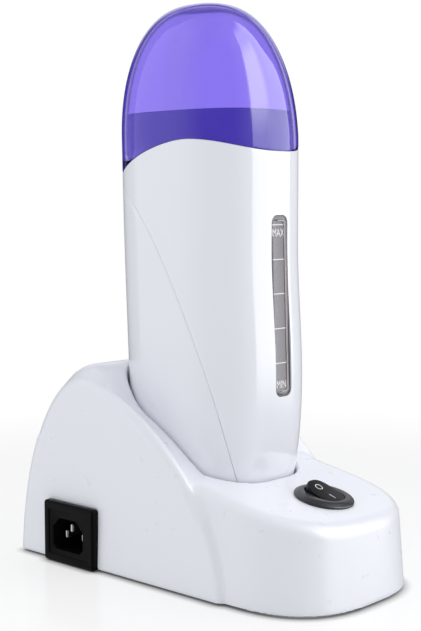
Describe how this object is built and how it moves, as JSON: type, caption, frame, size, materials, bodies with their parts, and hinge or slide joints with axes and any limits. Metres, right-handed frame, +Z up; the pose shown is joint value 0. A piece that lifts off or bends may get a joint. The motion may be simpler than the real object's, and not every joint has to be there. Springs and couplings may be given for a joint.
{
  "type": "roll on wax heater",
  "caption": "Hand-held wax heater with a domed cap and a level window, standing in a mains dock with a rocker switch and a side inlet.",
  "frame": {"origin": "middle of the dock's footprint, on the table; the inlet's frame stands 2.4 mm out of the -X side, so the box's middle lies 1.2 mm toward -X", "axes": "+Z up, -Y toward the switch end, -X toward the side with the mains inlet"},
  "size_m": [0.0844, 0.1554, 0.2263],
  "materials": {
    "white_shell": "gloss, moulded",
    "cap_violet": "polished, tinted, slightly see-through",
    "collar_violet": "gloss, moulded",
    "lens_smoke": "polished, smoke tinted",
    "aluminium": "drawn, satin",
    "steel": "zinc plated",
    "contact": "bright",
    "pin_metal": "nickel plated",
    "black_plastic": "fine satin",
    "bezel_grey": "satin",
    "tray_grey": "heat resistant, matte",
    "plate_grey": "fine texture",
    "rubber": "matte",
    "ceramic": "unglazed",
    "lead_brown": "insulation",
    "lead_blue": "insulation",
    "lead_white": "heat resistant insulation"
  },
  "bodies": {
    "dock": {"base_shell": "white_shell", "bottom_plate": "plate_grey", "rubber_feet": "rubber", "plate_screws": "steel", "inlet_housing": "black_plastic", "inlet_line_pins": "pin_metal", "inlet_earth_pin": "pin_metal", "switch_housing": "bezel_grey", "switch_terminals": "contact", "dock_block": "tray_grey", "dock_pins": "contact", "dock_screws": "steel", "lead_live": "lead_brown", "lead_switched": "lead_brown", "lead_neutral": "lead_blue"},
    "hand_unit": {"collar": "collar_violet", "front_shell": "white_shell", "rear_shell": "white_shell", "window_lens": "lens_smoke", "heater_chamber": "aluminium", "heater_element": "aluminium", "heater_clamp": "steel", "clamp_screws": "steel", "thermostat": "ceramic", "thermal_fuse": "ceramic", "chamber_tray": "tray_grey", "socket_block": "tray_grey", "socket_sleeves": "contact", "shell_screws": "steel", "unit_lead_live": "lead_white", "unit_lead_link": "lead_white", "unit_lead_return": "lead_white"},
    "cap": {"cap": "cap_violet"},
    "rocker": {"switch_rocker": "black_plastic"}
  },
  "joints": [
    {"name": "unit_lift", "type": "slide", "parent": "dock", "child": "hand_unit", "axis": [0, 0, 1], "range_m": [0, 0.11]},
    {"name": "cap_lift", "type": "slide", "parent": "hand_unit", "child": "cap", "axis": [0, 0, 1], "range_m": [0, 0.06]},
    {"name": "rocker_hinge", "type": "hinge", "parent": "dock", "child": "rocker", "pos_m": [0, -0.05335, 0.03698], "axis": [-1, 0, 0], "range_deg": [0, 22]}
  ]
}
